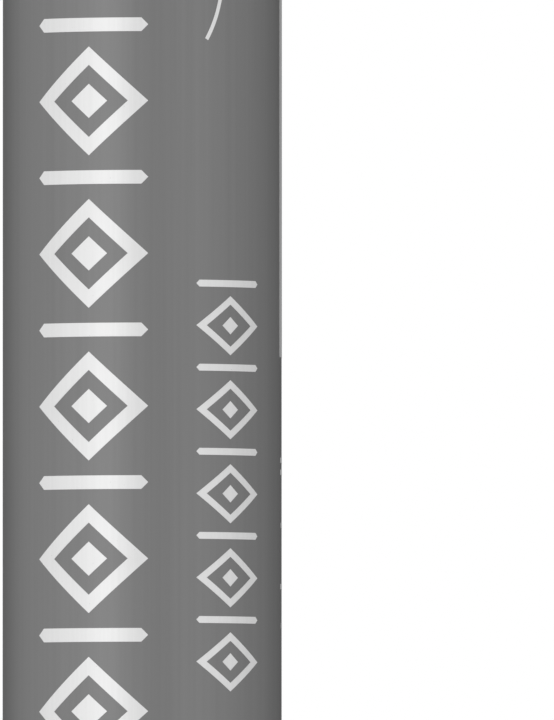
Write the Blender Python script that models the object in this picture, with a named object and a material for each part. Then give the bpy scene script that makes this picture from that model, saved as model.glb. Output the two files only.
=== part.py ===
# A twist-up eyeliner pencil that stands on the closed end of its cap, with its twist knob up.
# Metres, +Z up. The pencil's axis is Z, and the flat end of the cap lies at z = 0.

import math

import bmesh
import bpy
from mathutils import Matrix, Vector

# Outside sizes
BODY_RADIUS = 0.0045
BARREL_LENGTH = 0.0736
BARREL_WALL = 0.0008
KNOB_LENGTH = 0.0126
BUTTON_LENGTH = 0.0034
SEAM = 0.0002  # line between two outside pieces
SLEEVE_BEVEL = 0.00012
END_ROUND = 0.0006  # round at each closed end

# Fits
PRESS_FIT = 0.0001
RUNNING_FIT = 0.0001
SLIDING_FIT = 0.0002
BEVEL = 0.0002  # on the ends of inner pieces
CUT_OVERRUN = 0.002  # how far a cutter reaches past what it cuts
JOIN_DEPTH = 0.0003  # how deep one shape sinks into the one it is joined to
MERGE_DISTANCE = 1e-7

# Cap
CAP_WALL = 0.00055
CAP_END_WALL = 0.0012
LINER_WALL = 0.0006
LINER_SEAT_WALL = 0.00035
LINER_FLOOR = 0.0008
LINER_STEP = 0.0008  # how far the liner stays below the cap's mouth
LINER_SEAT_ROOM = 0.0004  # seat bore past the end of the neck
TIP_ROOM = 0.0019  # between the cap's floor and a lead that is all the way out

# Neck and nozzle
NECK_LENGTH = 0.0098
NECK_PRESS_LENGTH = 0.0098
NECK_FIT = 0.00018
BEAD_HEIGHT = 0.0001
BEAD_WIDTH = 0.0008
BEAD_SETBACK = 0.0028  # from the barrel's front to the middle of the bead
NOZZLE_LENGTH = 0.0121
NOZZLE_TIP_RADIUS = 0.0017
NOZZLE_ROOM = 0.0002  # between the nozzle's base and the liner
CUP_BORE_DEPTH = 0.0071  # of the cup's bore, from the nozzle's base; the bore in front guides the lead
SPIGOT_LENGTH = 0.0061
SPIGOT_WALL = 0.0005

# Lead and its cup
LEAD_RADIUS = 0.0011
LEAD_POINT_LENGTH = 0.003
LEAD_POINT_RADIUS = 0.0003
LEAD_RECESS = 0.0004  # how far the retracted point stays inside the nozzle
LEAD_FIT = 0.00015
CUP_RADIUS = 0.00175
CUP_LENGTH = 0.008
CUP_SOCKET_DEPTH = 0.006
CUP_SLIT_LENGTH = 0.0045
CUP_SLIT_WIDTH = 0.0003
CUP_STOP = 0.0002

# Screw
PITCH = 0.00275
TURNS = 8
THREAD_HAND = -1  # left-hand, so that turning the knob clockwise sends the lead out
THREAD_ROOT_RADIUS = 0.00095
THREAD_CREST_RADIUS = 0.00135
THREAD_ROOT_WIDTH = 0.0013
THREAD_CREST_WIDTH = 0.0007
THREAD_TAIL = 0.0006  # screw past the nut when the lead is all the way out
THREAD_LEAD_IN = 0.0004
THREAD_FIT = 0.0002
COLLAR_RADIUS = 0.0019
COLLAR_THICKNESS = 0.0006
HEAD_WIDTH = 0.002
HEAD_LENGTH = 0.005

# Carrier, guide and rod
GUIDE_WALL = 0.0009
GUIDE_OVERLAP = 0.0006  # guide tube behind the nut at rest
NUT_LENGTH = 0.004
NUT_PLAY = 0.0005
CARRIER_BORE_ROOM = 0.00025
KEY_WIDTH = 0.0009
KEY_SETBACK = 0.0003
KEY_SHORTFALL = 0.0003  # from a key's end to the guide tube's outside
SLOT_ROOM = 0.00015
ROD_RADIUS = 0.0015
ROD_COLLAR_THICKNESS = 0.001
ROD_PLUG_LENGTH = 0.002
ROD_PIN_RADIUS = 0.0008
ROD_PIN_LENGTH = 0.0013

# Rear bearing
BUSH_LENGTH = 0.006
BUSH_WALL = 0.0009
CLIP_THICKNESS = 0.0005
CLIP_PLAY = 0.00015
CLIP_BITE = 0.00045  # how far the clip reaches past the bush's bore
CLIP_GRIP = 0.00045  # how far it reaches into the journal
CLIP_GAP_WIDTH = 0.0028
JOURNAL_LIP = 0.0006
RING_WIRE_RADIUS = 0.00032
RING_STAND = 0.00004  # how far the rubber ring stands out of its groove
RING_ROOM = 0.00005
RING_SETBACK = 0.0042  # from the journal's front to the middle of the ring

# Knob and sharpener
KNOB_WALL = 0.00065
CORE_WALL = 0.0008
CORE_FLOOR = 0.001
PLUG_FIT = 0.00015
PLUG_ROOM = 0.0003
PLUG_BEAD_HEIGHT = 0.00007
PLUG_BEAD_WIDTH = 0.0006
PLUG_BEAD_SETBACK = 0.0022  # from the button's front to the middle of the bead
STUD_RADIUS = 0.0021
STUD_LENGTH = 0.0018
HOLE_MOUTH_DEPTH = 0.001
HOLE_FIT = 0.0002
HOLE_CONE_LENGTH = 0.0046
HOLE_END_RADIUS = 0.00015
BLADE_BITE = 0.0002  # how deep the blade's plane cuts into the sharpening cone
BLADE_THICKNESS = 0.0003
BLADE_WIDTH = 0.0022
BLADE_GRIND = 0.0003
BLADE_EDGE_PAST = 0.00015  # cutting edge past the middle of the window
BLADE_FRONT = 0.0006  # blade in front of the cone's mouth
BLADE_SEAT = 0.00006
WINDOW_ROOM = 0.0004
STAKE_RADIUS = 0.0004
STAKE_FIT = 0.0001
STAKE_SIDE = 0.0013  # from the middle of the window to the stake
STAKE_STAND = 0.00045

# Numbers of sides and steps
BODY_SIDES = 48
INNER_SIDES = 32
SMALL_SIDES = 24
THREAD_SIDES = 20
ROUND_STEPS = 4
NOZZLE_STEPS = 6
RING_SIDES = 10
SMOOTH_ANGLE = math.radians(35)

# Radii that follow
barrel_bore = BODY_RADIUS - BARREL_WALL
insert_radius = barrel_bore - PRESS_FIT
liner_radius = BODY_RADIUS - CAP_WALL - PRESS_FIT
liner_bore = liner_radius - LINER_WALL
seat_bore = liner_radius - LINER_SEAT_WALL
neck_radius = seat_bore - NECK_FIT
nozzle_radius = liner_bore - NOZZLE_ROOM
cup_bore = CUP_RADIUS + SLIDING_FIT
spigot_radius = cup_bore + SPIGOT_WALL
guide_bore = insert_radius - GUIDE_WALL
carrier_radius = guide_bore - SLIDING_FIT
carrier_bore = THREAD_CREST_RADIUS + CARRIER_BORE_ROOM
key_reach = insert_radius - KEY_SHORTFALL
bush_bore = insert_radius - BUSH_WALL
journal_radius = bush_bore - RUNNING_FIT
core_radius = BODY_RADIUS - KNOB_WALL - PRESS_FIT
core_bore = core_radius - CORE_WALL
plug_radius = core_bore - PLUG_FIT
hole_radius = LEAD_RADIUS + HOLE_FIT

# Heights that follow, from the cap's end up
lead_travel = TURNS * PITCH
liner_foot = CAP_END_WALL + PRESS_FIT
cap_floor = liner_foot + LINER_FLOOR
nozzle_tip = cap_floor + TIP_ROOM + lead_travel
nozzle_base = nozzle_tip + NOZZLE_LENGTH
neck_front = nozzle_base + PRESS_FIT
barrel_front = neck_front + NECK_LENGTH
neck_rear = barrel_front + NECK_PRESS_LENGTH
barrel_rear = barrel_front + BARREL_LENGTH
knob_front = barrel_rear + SEAM
knob_rear = knob_front + KNOB_LENGTH
button_front = knob_rear + SEAM
top = button_front + BUTTON_LENGTH
cap_mouth = barrel_front - SEAM

lead_front = nozzle_tip + LEAD_RECESS
cup_front = nozzle_base - CUP_BORE_DEPTH + CUP_STOP + lead_travel
cup_rear = cup_front + CUP_LENGTH
lead_rear = cup_front + CUP_SOCKET_DEPTH - PRESS_FIT

bush_front = barrel_rear - BUSH_LENGTH
clip_rear = bush_front - CLIP_PLAY
clip_front = clip_rear - CLIP_THICKNESS
journal_front = clip_front - JOURNAL_LIP
collar_rear = journal_front - PRESS_FIT
collar_front = collar_rear - COLLAR_THICKNESS
nut_rear = collar_front - NUT_PLAY
nut_front = nut_rear - NUT_LENGTH
screw_front = nut_front - lead_travel - THREAD_TAIL
rod_rear = screw_front - SLIDING_FIT
carrier_front = rod_rear - ROD_PLUG_LENGTH
rod_collar_rear = carrier_front - PRESS_FIT
guide_front = neck_rear + PRESS_FIT
guide_rear = nut_rear + GUIDE_OVERLAP
thread_start = screw_front - 2 * PITCH

socket_floor = knob_front + CORE_FLOOR
plug_front = socket_floor + PLUG_ROOM


def clear_scene():
    for obj in list(bpy.data.objects):
        bpy.data.objects.remove(obj, do_unlink=True)


def finish(name, color, roughness, metallic=0.0):
    material = bpy.data.materials.new(name)
    material.use_nodes = True
    shader = material.node_tree.nodes["Principled BSDF"]
    shader.inputs["Base Color"].default_value = (*color, 1)
    shader.inputs["Roughness"].default_value = roughness
    shader.inputs["Metallic"].default_value = metallic
    return material


def axis_empty(name, parent=None):
    empty = bpy.data.objects.new(name, None)
    empty.empty_display_size = BODY_RADIUS
    empty.parent = parent
    bpy.context.collection.objects.link(empty)
    return empty


def add_object(name, bm, foot=0):
    """Makes a smooth-shaded object from a bmesh, with its origin on the axis at the height foot."""
    bmesh.ops.recalc_face_normals(bm, faces=bm.faces)
    mesh = bpy.data.meshes.new(name)
    bm.to_mesh(mesh)
    bm.free()
    mesh.shade_smooth()
    mesh.set_sharp_from_angle(angle=SMOOTH_ANGLE)
    obj = bpy.data.objects.new(name, mesh)
    obj.location.z = foot
    bpy.context.collection.objects.link(obj)
    return obj


def dress(obj, parent, material):
    obj.parent = parent
    obj.data.materials.append(material)
    return obj


def cut_with(obj, helper, operation="DIFFERENCE"):
    """Adds a Boolean with a helper object that is itself left out of renders."""
    helper.hide_render = True
    helper.display_type = "WIRE"
    boolean = obj.modifiers.new(helper.name, "BOOLEAN")
    boolean.object = helper
    boolean.operation = operation
    boolean.solver = "EXACT"


def turned(name, outline, foot=0, sides=INNER_SIDES):
    """Turns an outline of (radius, height) pairs about Z, closed unless it starts on the axis."""
    bm = bmesh.new()
    points = [bm.verts.new((radius, 0, height - foot)) for radius, height in outline]
    edges = [bm.edges.new(pair) for pair in zip(points, points[1:])]
    if outline[0][0] > 0:
        edges.append(bm.edges.new((points[-1], points[0])))
    bmesh.ops.spin(
        bm, geom=points + edges, cent=(0, 0, 0), axis=(0, 0, 1), angle=math.tau, steps=sides, use_merge=True
    )
    bmesh.ops.remove_doubles(bm, verts=bm.verts, dist=MERGE_DISTANCE)
    return add_object(name, bm, foot)


def round_corner(radius, height, size, up):
    """An arc from the end face to the side, for a round outside corner at this radius and height."""
    direction = 1 if up else -1
    centre_radius = radius - size
    centre_height = height - direction * size
    arc = []
    for step in range(ROUND_STEPS + 1):
        angle = math.pi / 2 * step / ROUND_STEPS
        arc.append(
            (centre_radius + size * math.sin(angle), centre_height + direction * size * math.cos(angle))
        )
    return arc


def tube_outline(outer, inner, front, rear, bevel):
    """A plain tube with a bevel on both outside edges."""
    return [
        (inner, rear),
        (outer - bevel, rear),
        (outer, rear - bevel),
        (outer, front + bevel),
        (outer - bevel, front),
        (inner, front),
    ]


def block(name, low, high):
    """A box between two opposite corners."""
    bm = bmesh.new()
    bmesh.ops.create_cube(bm, size=1)
    size = Vector(high) - Vector(low)
    bmesh.ops.scale(bm, vec=size, verts=bm.verts)
    bmesh.ops.translate(bm, vec=(Vector(high) + Vector(low)) / 2, verts=bm.verts)
    return add_object(name, bm)


def threaded_bar(name, start, turns, root, crest, root_width, crest_width):
    """A closed bar with one helical ridge, whose ridge is centred on the height start at angle zero."""
    section = [
        (root, -root_width / 2),
        (crest, -crest_width / 2),
        (crest, crest_width / 2),
        (root, root_width / 2),
    ]
    bm = bmesh.new()
    rows = []
    for step in range(turns * THREAD_SIDES + 1):
        angle = THREAD_HAND * math.tau * step / THREAD_SIDES
        lift = PITCH * step / THREAD_SIDES
        row = []
        for radius, height in section:
            row.append(bm.verts.new((radius * math.cos(angle), radius * math.sin(angle), lift + height)))
        rows.append(row)
    for near, far in zip(rows, rows[1:]):
        for i in range(len(section) - 1):
            bm.faces.new((near[i], near[i + 1], far[i + 1], far[i]))
    for i in range(len(rows) - THREAD_SIDES - 1):
        above = i + THREAD_SIDES
        bm.faces.new((rows[i][3], rows[above][0], rows[above + 1][0], rows[i + 1][3]))
    first_loop = [row[0] for row in rows[: THREAD_SIDES + 1]] + rows[0][:0:-1]
    last_loop = rows[-1] + [row[3] for row in rows[-2 : -THREAD_SIDES - 2 : -1]]
    for loop, height in ((first_loop, -PITCH / 4), (last_loop, lift + PITCH / 4)):
        centre = bm.verts.new((0, 0, height))
        for i, vertex in enumerate(loop):
            bm.faces.new((vertex, loop[(i + 1) % len(loop)], centre))
    return add_object(name, bm, start)


def make_cap(parent, outside, lining):
    shell_bore = liner_radius + PRESS_FIT
    outline = [
        (0, CAP_END_WALL),
        (shell_bore, CAP_END_WALL),
        (shell_bore, cap_mouth),
        (BODY_RADIUS - SLEEVE_BEVEL, cap_mouth),
        (BODY_RADIUS, cap_mouth - SLEEVE_BEVEL),
    ]
    outline += reversed(round_corner(BODY_RADIUS, 0, END_ROUND, up=False))
    outline.append((0, 0))
    dress(turned("cap_shell", outline, sides=BODY_SIDES), parent, outside)

    liner_rear = cap_mouth - LINER_STEP
    seat_foot = neck_front - LINER_SEAT_ROOM
    outline = [
        (0, cap_floor),
        (liner_bore, cap_floor),
        (liner_bore, seat_foot),
        (seat_bore, seat_foot),
        (seat_bore, liner_rear),
        (liner_radius - BEVEL, liner_rear),
        (liner_radius, liner_rear - BEVEL),
        (liner_radius, liner_foot + BEVEL),
        (liner_radius - BEVEL, liner_foot),
        (0, liner_foot),
    ]
    dress(turned("cap_liner", outline, liner_foot, sides=BODY_SIDES), parent, lining)


def make_barrel(parent, outside, inner, front_finish):
    tube = tube_outline(BODY_RADIUS, barrel_bore, barrel_front, barrel_rear, SLEEVE_BEVEL)
    dress(turned("barrel_tube", tube, barrel_front, BODY_SIDES), parent, outside)

    bead = barrel_front - BEAD_SETBACK
    spigot_rear = nozzle_base + SPIGOT_LENGTH
    outline = [
        (cup_bore, neck_rear),
        (insert_radius - BEVEL, neck_rear),
        (insert_radius, neck_rear - BEVEL),
        (insert_radius, barrel_front),
        (neck_radius, barrel_front),
        (neck_radius, bead + BEAD_WIDTH / 2),
        (neck_radius + BEAD_HEIGHT, bead + BEAD_WIDTH / 4),
        (neck_radius + BEAD_HEIGHT, bead - BEAD_WIDTH / 4),
        (neck_radius, bead - BEAD_WIDTH / 2),
        (neck_radius, neck_front + BEVEL),
        (neck_radius - BEVEL, neck_front),
        (spigot_radius + PRESS_FIT, neck_front),
        (spigot_radius + PRESS_FIT, spigot_rear + PRESS_FIT),
        (cup_bore, spigot_rear + PRESS_FIT),
    ]
    dress(turned("neck_sleeve", outline, neck_front), parent, front_finish)

    land_rear = nozzle_base - CUP_BORE_DEPTH
    outline = [
        (cup_bore, spigot_rear),
        (spigot_radius - BEVEL, spigot_rear),
        (spigot_radius, spigot_rear - BEVEL),
        (spigot_radius, nozzle_base),
    ]
    for step in range(NOZZLE_STEPS, -1, -1):
        share = step / NOZZLE_STEPS
        swell = math.sin(share * math.pi / 2)
        radius = NOZZLE_TIP_RADIUS + (nozzle_radius - NOZZLE_TIP_RADIUS) * swell
        outline.append((radius, nozzle_tip + NOZZLE_LENGTH * share))
    outline += [
        (LEAD_RADIUS + LEAD_FIT, nozzle_tip),
        (LEAD_RADIUS + LEAD_FIT, land_rear),
        (cup_bore, land_rear),
    ]
    dress(turned("nozzle", outline, nozzle_tip), parent, front_finish)

    tube = tube_outline(insert_radius, guide_bore, guide_front, guide_rear, BEVEL)
    guide = dress(turned("guide_tube", tube, guide_front), parent, inner)
    slot_width = KEY_WIDTH + 2 * SLOT_ROOM
    slot_front = nut_front - lead_travel
    slots = block(
        "slots_cutter",
        (-insert_radius - CUT_OVERRUN, -slot_width / 2, slot_front),
        (insert_radius + CUT_OVERRUN, slot_width / 2, guide_rear + CUT_OVERRUN),
    )
    cut_with(guide, slots)

    tube = tube_outline(insert_radius, bush_bore, bush_front, barrel_rear, BEVEL)
    dress(turned("rear_bush", tube, bush_front), parent, inner)


def make_knob(parent, outside, core_finish, inner, steel, rubber):
    shell_bore = core_radius + PRESS_FIT
    tube = tube_outline(BODY_RADIUS, shell_bore, knob_front, knob_rear, SLEEVE_BEVEL)
    dress(turned("knob_shell", tube, knob_front, BODY_SIDES), parent, outside)

    ring_height = journal_front + RING_SETBACK
    ring_radius = journal_radius + RING_STAND - RING_WIRE_RADIUS
    ring_groove = ring_radius - RING_WIRE_RADIUS - RING_ROOM
    groove_half = RING_WIRE_RADIUS + RING_ROOM
    clip_inner = journal_radius - CLIP_GRIP
    clip_groove = clip_inner - PRESS_FIT
    head_rear = journal_front + HEAD_LENGTH
    outline = [
        (0, socket_floor),
        (core_bore, socket_floor),
        (core_bore, knob_rear - BEVEL),
        (core_radius, knob_rear - BEVEL),
        (core_radius, knob_front),
        (journal_radius, knob_front),
        (journal_radius, ring_height + groove_half),
        (ring_groove, ring_height + groove_half),
        (ring_groove, ring_height - groove_half),
        (journal_radius, ring_height - groove_half),
        (journal_radius, clip_rear + PRESS_FIT),
        (clip_groove, clip_rear + PRESS_FIT),
        (clip_groove, clip_front - PRESS_FIT),
        (journal_radius, clip_front - PRESS_FIT),
        (journal_radius - BEVEL, journal_front),
        (0, journal_front),
    ]
    core = dress(turned("knob_core", outline, journal_front), parent, core_finish)
    socket_half = HEAD_WIDTH / 2 + PRESS_FIT
    drive = block(
        "drive_socket_cutter",
        (-socket_half, -socket_half, journal_front - CUT_OVERRUN),
        (socket_half, socket_half, head_rear + PRESS_FIT),
    )
    cut_with(core, drive)

    outline = [
        (clip_inner, clip_rear),
        (bush_bore + CLIP_BITE, clip_rear),
        (bush_bore + CLIP_BITE, clip_front),
        (clip_inner, clip_front),
    ]
    clip = dress(turned("retaining_clip", outline, clip_front), parent, steel)
    gap = block(
        "clip_gap_cutter",
        (0, -CLIP_GAP_WIDTH / 2, clip_front - CUT_OVERRUN),
        (bush_bore + CLIP_BITE + CUT_OVERRUN, CLIP_GAP_WIDTH / 2, clip_rear + CUT_OVERRUN),
    )
    cut_with(clip, gap)

    outline = []
    for step in range(RING_SIDES):
        angle = math.tau * step / RING_SIDES
        outline.append(
            (
                ring_radius + RING_WIRE_RADIUS * math.cos(angle),
                ring_height - RING_WIRE_RADIUS * math.sin(angle),
            )
        )
    dress(turned("friction_ring", outline, ring_height), parent, rubber)

    make_screw(parent, inner, head_rear)


def make_screw(parent, inner, head_rear):
    """The screw is a long threaded bar, trimmed to length and joined to its collar and square head."""
    turns = math.ceil((collar_rear - thread_start) / PITCH) + 2
    screw = threaded_bar(
        "screw_spindle",
        thread_start,
        turns,
        THREAD_ROOT_RADIUS,
        THREAD_CREST_RADIUS,
        THREAD_ROOT_WIDTH,
        THREAD_CREST_WIDTH,
    )
    dress(screw, parent, inner)
    outline = [
        (0, collar_front + JOIN_DEPTH),
        (THREAD_CREST_RADIUS + CUT_OVERRUN, collar_front + JOIN_DEPTH),
        (THREAD_CREST_RADIUS + CUT_OVERRUN, screw_front + THREAD_LEAD_IN + CUT_OVERRUN),
        (THREAD_ROOT_RADIUS, screw_front),
        (0, screw_front),
    ]
    cut_with(screw, turned("screw_trim", outline), "INTERSECT")
    outline = [
        (0, collar_rear),
        (COLLAR_RADIUS, collar_rear),
        (COLLAR_RADIUS, collar_front),
        (0, collar_front),
    ]
    cut_with(screw, turned("screw_collar", outline, sides=SMALL_SIDES), "UNION")
    half = HEAD_WIDTH / 2
    head = block("screw_head", (-half, -half, collar_rear - JOIN_DEPTH), (half, half, head_rear))
    cut_with(screw, head, "UNION")


def make_carrier(parent, inner, lead_finish):
    outline = [
        (0, nut_rear),
        (carrier_radius - BEVEL, nut_rear),
        (carrier_radius, nut_rear - BEVEL),
        (carrier_radius, carrier_front + BEVEL),
        (carrier_radius - BEVEL, carrier_front),
        (carrier_bore, carrier_front),
        (carrier_bore, nut_front),
        (0, nut_front),
    ]
    carrier = dress(turned("carrier_nut", outline, carrier_front), parent, inner)
    key_root = carrier_radius - JOIN_DEPTH
    for side in (-1, 1):
        ends = sorted((side * key_root, side * key_reach))
        key = block(
            f"key_{'left' if side < 0 else 'right'}",
            (ends[0], -KEY_WIDTH / 2, nut_front + KEY_SETBACK),
            (ends[1], KEY_WIDTH / 2, nut_rear - KEY_SETBACK),
        )
        cut_with(carrier, key, "UNION")
    turns_below = math.floor((nut_front - thread_start) / PITCH) - 2
    tap = threaded_bar(
        "nut_tap",
        thread_start + turns_below * PITCH,
        math.ceil(NUT_LENGTH / PITCH) + 5,
        THREAD_ROOT_RADIUS + THREAD_FIT,
        THREAD_CREST_RADIUS + THREAD_FIT,
        THREAD_ROOT_WIDTH + 2 * THREAD_FIT,
        THREAD_CREST_WIDTH + 2 * THREAD_FIT,
    )
    cut_with(carrier, tap)

    outline = [
        (0, rod_rear),
        (carrier_bore - PRESS_FIT, rod_rear),
        (carrier_bore - PRESS_FIT, rod_collar_rear),
        (carrier_radius - BEVEL, rod_collar_rear),
        (carrier_radius - BEVEL, rod_collar_rear - ROD_COLLAR_THICKNESS),
        (ROD_RADIUS, rod_collar_rear - ROD_COLLAR_THICKNESS),
        (ROD_RADIUS, cup_rear + PRESS_FIT),
        (ROD_PIN_RADIUS, cup_rear + PRESS_FIT),
        (ROD_PIN_RADIUS, cup_rear - ROD_PIN_LENGTH),
        (0, cup_rear - ROD_PIN_LENGTH),
    ]
    dress(turned("push_rod", outline, cup_rear, SMALL_SIDES), parent, inner)

    pin_bore = ROD_PIN_RADIUS + PRESS_FIT
    lead_bore = LEAD_RADIUS + PRESS_FIT
    socket_rear = cup_front + CUP_SOCKET_DEPTH
    pin_floor = cup_rear - ROD_PIN_LENGTH - PRESS_FIT
    outline = [
        (0, pin_floor),
        (pin_bore, pin_floor),
        (pin_bore, cup_rear),
        (CUP_RADIUS - BEVEL, cup_rear),
        (CUP_RADIUS, cup_rear - BEVEL),
        (CUP_RADIUS, cup_front + BEVEL),
        (CUP_RADIUS - BEVEL, cup_front),
        (lead_bore, cup_front),
        (lead_bore, socket_rear),
        (0, socket_rear),
    ]
    cup = dress(turned("lead_cup", outline, cup_front, SMALL_SIDES), parent, inner)
    reach = CUP_RADIUS + CUT_OVERRUN
    half = CUP_SLIT_WIDTH / 2
    slit_front = cup_front - CUT_OVERRUN
    slit_rear = cup_front + CUP_SLIT_LENGTH
    cut_with(cup, block("slit_cutter_x", (-reach, -half, slit_front), (reach, half, slit_rear)))
    cut_with(cup, block("slit_cutter_y", (-half, -reach, slit_front), (half, reach, slit_rear)))

    outline = [
        (0, lead_rear),
        (LEAD_RADIUS, lead_rear),
        (LEAD_RADIUS, lead_front + LEAD_POINT_LENGTH),
        (LEAD_POINT_RADIUS, lead_front),
        (0, lead_front),
    ]
    dress(turned("lead", outline, lead_front, SMALL_SIDES), parent, lead_finish)


def make_sharpener(parent, outside, inner, steel):
    stud_rear = button_front + STUD_LENGTH
    bead = button_front - PLUG_BEAD_SETBACK
    cone_front = plug_front + HOLE_MOUTH_DEPTH
    cone_rear = cone_front + HOLE_CONE_LENGTH
    outline = [
        (0, stud_rear),
        (STUD_RADIUS, stud_rear),
        (STUD_RADIUS, button_front - PRESS_FIT),
        (plug_radius, button_front - PRESS_FIT),
        (plug_radius, bead + PLUG_BEAD_WIDTH / 2),
        (plug_radius + PLUG_BEAD_HEIGHT, bead),
        (plug_radius, bead - PLUG_BEAD_WIDTH / 2),
        (plug_radius, plug_front + BEVEL),
        (plug_radius - BEVEL, plug_front),
        (0, plug_front),
    ]
    body = dress(turned("sharpener_body", outline, plug_front), parent, inner)
    outline = [
        (0, cone_rear),
        (HOLE_END_RADIUS, cone_rear),
        (hole_radius, cone_front),
        (hole_radius, plug_front - CUT_OVERRUN),
        (0, plug_front - CUT_OVERRUN),
    ]
    cut_with(body, turned("sharpening_hole", outline, sides=SMALL_SIDES))

    # The blade lies on a plane that slants like the cone's side and cuts a little into it
    slant = math.atan2(hole_radius - HOLE_END_RADIUS, HOLE_CONE_LENGTH)
    seat = Matrix.Translation((hole_radius - BLADE_BITE, 0, cone_front)) @ Matrix.Rotation(-slant, 4, "Y")
    run = HOLE_CONE_LENGTH / math.cos(slant)
    reach = plug_radius + CUT_OVERRUN
    front = -HOLE_MOUTH_DEPTH - CUT_OVERRUN
    window = block("window_cutter", (0, -reach, front), (reach, reach, run + WINDOW_ROOM))
    window.matrix_world = seat
    cut_with(body, window)
    middle = (run - BLADE_FRONT) / 2
    stake = seat @ Matrix.Translation((0, STAKE_SIDE, middle)) @ Matrix.Rotation(math.pi / 2, 4, "Y")
    pin = turned(
        "blade_stake",
        [
            (0, STAKE_STAND),
            (STAKE_RADIUS, STAKE_STAND),
            (STAKE_RADIUS, -JOIN_DEPTH),
            (0, -JOIN_DEPTH),
        ],
        sides=SMALL_SIDES // 2,
    )
    pin.matrix_world = stake
    cut_with(body, pin, "UNION")

    make_blade(parent, steel, seat, run, stake)

    stud_bore = STUD_RADIUS + PRESS_FIT
    outline = round_corner(BODY_RADIUS, top, END_ROUND, up=True)
    outline = [(0, top)] + outline
    outline += [
        (BODY_RADIUS, button_front + SLEEVE_BEVEL),
        (BODY_RADIUS - SLEEVE_BEVEL, button_front),
        (stud_bore, button_front),
        (stud_bore, stud_rear + PRESS_FIT),
        (0, stud_rear + PRESS_FIT),
    ]
    dress(turned("end_button", outline, button_front, BODY_SIDES), parent, outside)


def make_blade(parent, steel, seat, run, stake):
    """A flat plate with one ground edge, and a hole for the stake that holds it."""
    inner_face = BLADE_SEAT
    outer_face = BLADE_SEAT + BLADE_THICKNESS
    section = [
        (inner_face, -BLADE_EDGE_PAST),
        (inner_face, BLADE_WIDTH),
        (outer_face, BLADE_WIDTH),
        (outer_face, BLADE_GRIND),
    ]
    bm = bmesh.new()
    outline = [bm.verts.new((out, side, -BLADE_FRONT)) for out, side in section]
    bm.faces.new(outline)
    extruded = bmesh.ops.extrude_face_region(bm, geom=bm.faces[:])
    moved = [item for item in extruded["geom"] if isinstance(item, bmesh.types.BMVert)]
    bmesh.ops.translate(bm, vec=(0, 0, run + BLADE_FRONT), verts=moved)
    blade = add_object("sharpener_blade", bm)
    blade.matrix_world = seat
    dress(blade, parent, steel)
    hole = turned(
        "stake_hole_cutter",
        [
            (0, outer_face + CUT_OVERRUN),
            (STAKE_RADIUS + STAKE_FIT, outer_face + CUT_OVERRUN),
            (STAKE_RADIUS + STAKE_FIT, -CUT_OVERRUN),
            (0, -CUT_OVERRUN),
        ],
        sides=SMALL_SIDES // 2,
    )
    hole.matrix_world = stake
    cut_with(blade, hole)


def main():
    clear_scene()
    satin_grey = finish("satin_grey", (0.195, 0.195, 0.195), 0.35)
    black_plastic = finish("black_plastic", (0.02, 0.02, 0.021), 0.4)
    pale_plastic = finish("pale_plastic", (0.7, 0.69, 0.66), 0.45)
    steel = finish("steel", (0.6, 0.6, 0.61), 0.25, 1.0)
    rubber = finish("rubber", (0.015, 0.015, 0.015), 0.7)
    lead_finish = finish("lead_grey", (0.1, 0.1, 0.102), 0.55)

    cap = axis_empty("cap_root")
    barrel = axis_empty("barrel_slide", cap)
    knob = axis_empty("knob_twist", barrel)
    carrier = axis_empty("carrier_slide", barrel)
    plug = axis_empty("plug_slide", knob)

    make_cap(cap, satin_grey, pale_plastic)
    make_barrel(barrel, satin_grey, pale_plastic, black_plastic)
    make_knob(knob, satin_grey, black_plastic, pale_plastic, steel, rubber)
    make_carrier(carrier, pale_plastic, lead_finish)
    make_sharpener(plug, satin_grey, black_plastic, steel)


main()
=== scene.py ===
import math

import bmesh
import bpy
from mathutils import Matrix, Vector


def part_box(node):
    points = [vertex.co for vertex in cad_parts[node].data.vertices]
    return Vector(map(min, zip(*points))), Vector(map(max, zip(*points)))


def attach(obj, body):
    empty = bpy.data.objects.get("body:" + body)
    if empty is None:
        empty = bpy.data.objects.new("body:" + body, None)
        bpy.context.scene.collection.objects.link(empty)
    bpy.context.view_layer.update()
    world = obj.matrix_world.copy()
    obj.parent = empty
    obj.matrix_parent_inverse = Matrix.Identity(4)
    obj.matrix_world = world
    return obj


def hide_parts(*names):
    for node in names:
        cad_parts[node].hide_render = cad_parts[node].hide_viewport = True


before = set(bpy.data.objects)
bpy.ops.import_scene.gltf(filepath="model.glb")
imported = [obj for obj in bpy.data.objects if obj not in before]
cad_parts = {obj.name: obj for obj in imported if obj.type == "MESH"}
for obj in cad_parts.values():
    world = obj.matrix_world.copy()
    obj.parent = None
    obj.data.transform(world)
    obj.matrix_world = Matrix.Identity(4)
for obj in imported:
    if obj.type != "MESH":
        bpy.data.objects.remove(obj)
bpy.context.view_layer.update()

mm = 0.001
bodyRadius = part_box("barrel_tube")[1][0]
print("frame loaded,", len(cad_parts), "nodes")

# the photograph shows one stretch of the barrel from close by, seen from a little below
shot = {
    "centre": (4.35 * mm, 0, 101 * mm),  # what the middle of the picture looks at
    "eyeHeight": 77.7 * mm,
    "distance": 0.7875,
    "pictureHeight": 23.222 * mm,  # at the pencil's axis
    "sensor": 36,
    "clip": (0.05, 20),
}


def addObject(name, data):
    thing = bpy.data.objects.new(name, data)
    bpy.context.collection.objects.link(thing)
    return thing


def addMesh(name, bm):
    mesh = bpy.data.meshes.new(name)
    bm.to_mesh(mesh)
    bm.free()
    return addObject(name, mesh)


def aimFrom(thing, place, aim):
    thing.location = place
    thing.rotation_euler = (Vector(aim) - thing.location).to_track_quat("-Z", "Y").to_euler()


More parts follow.
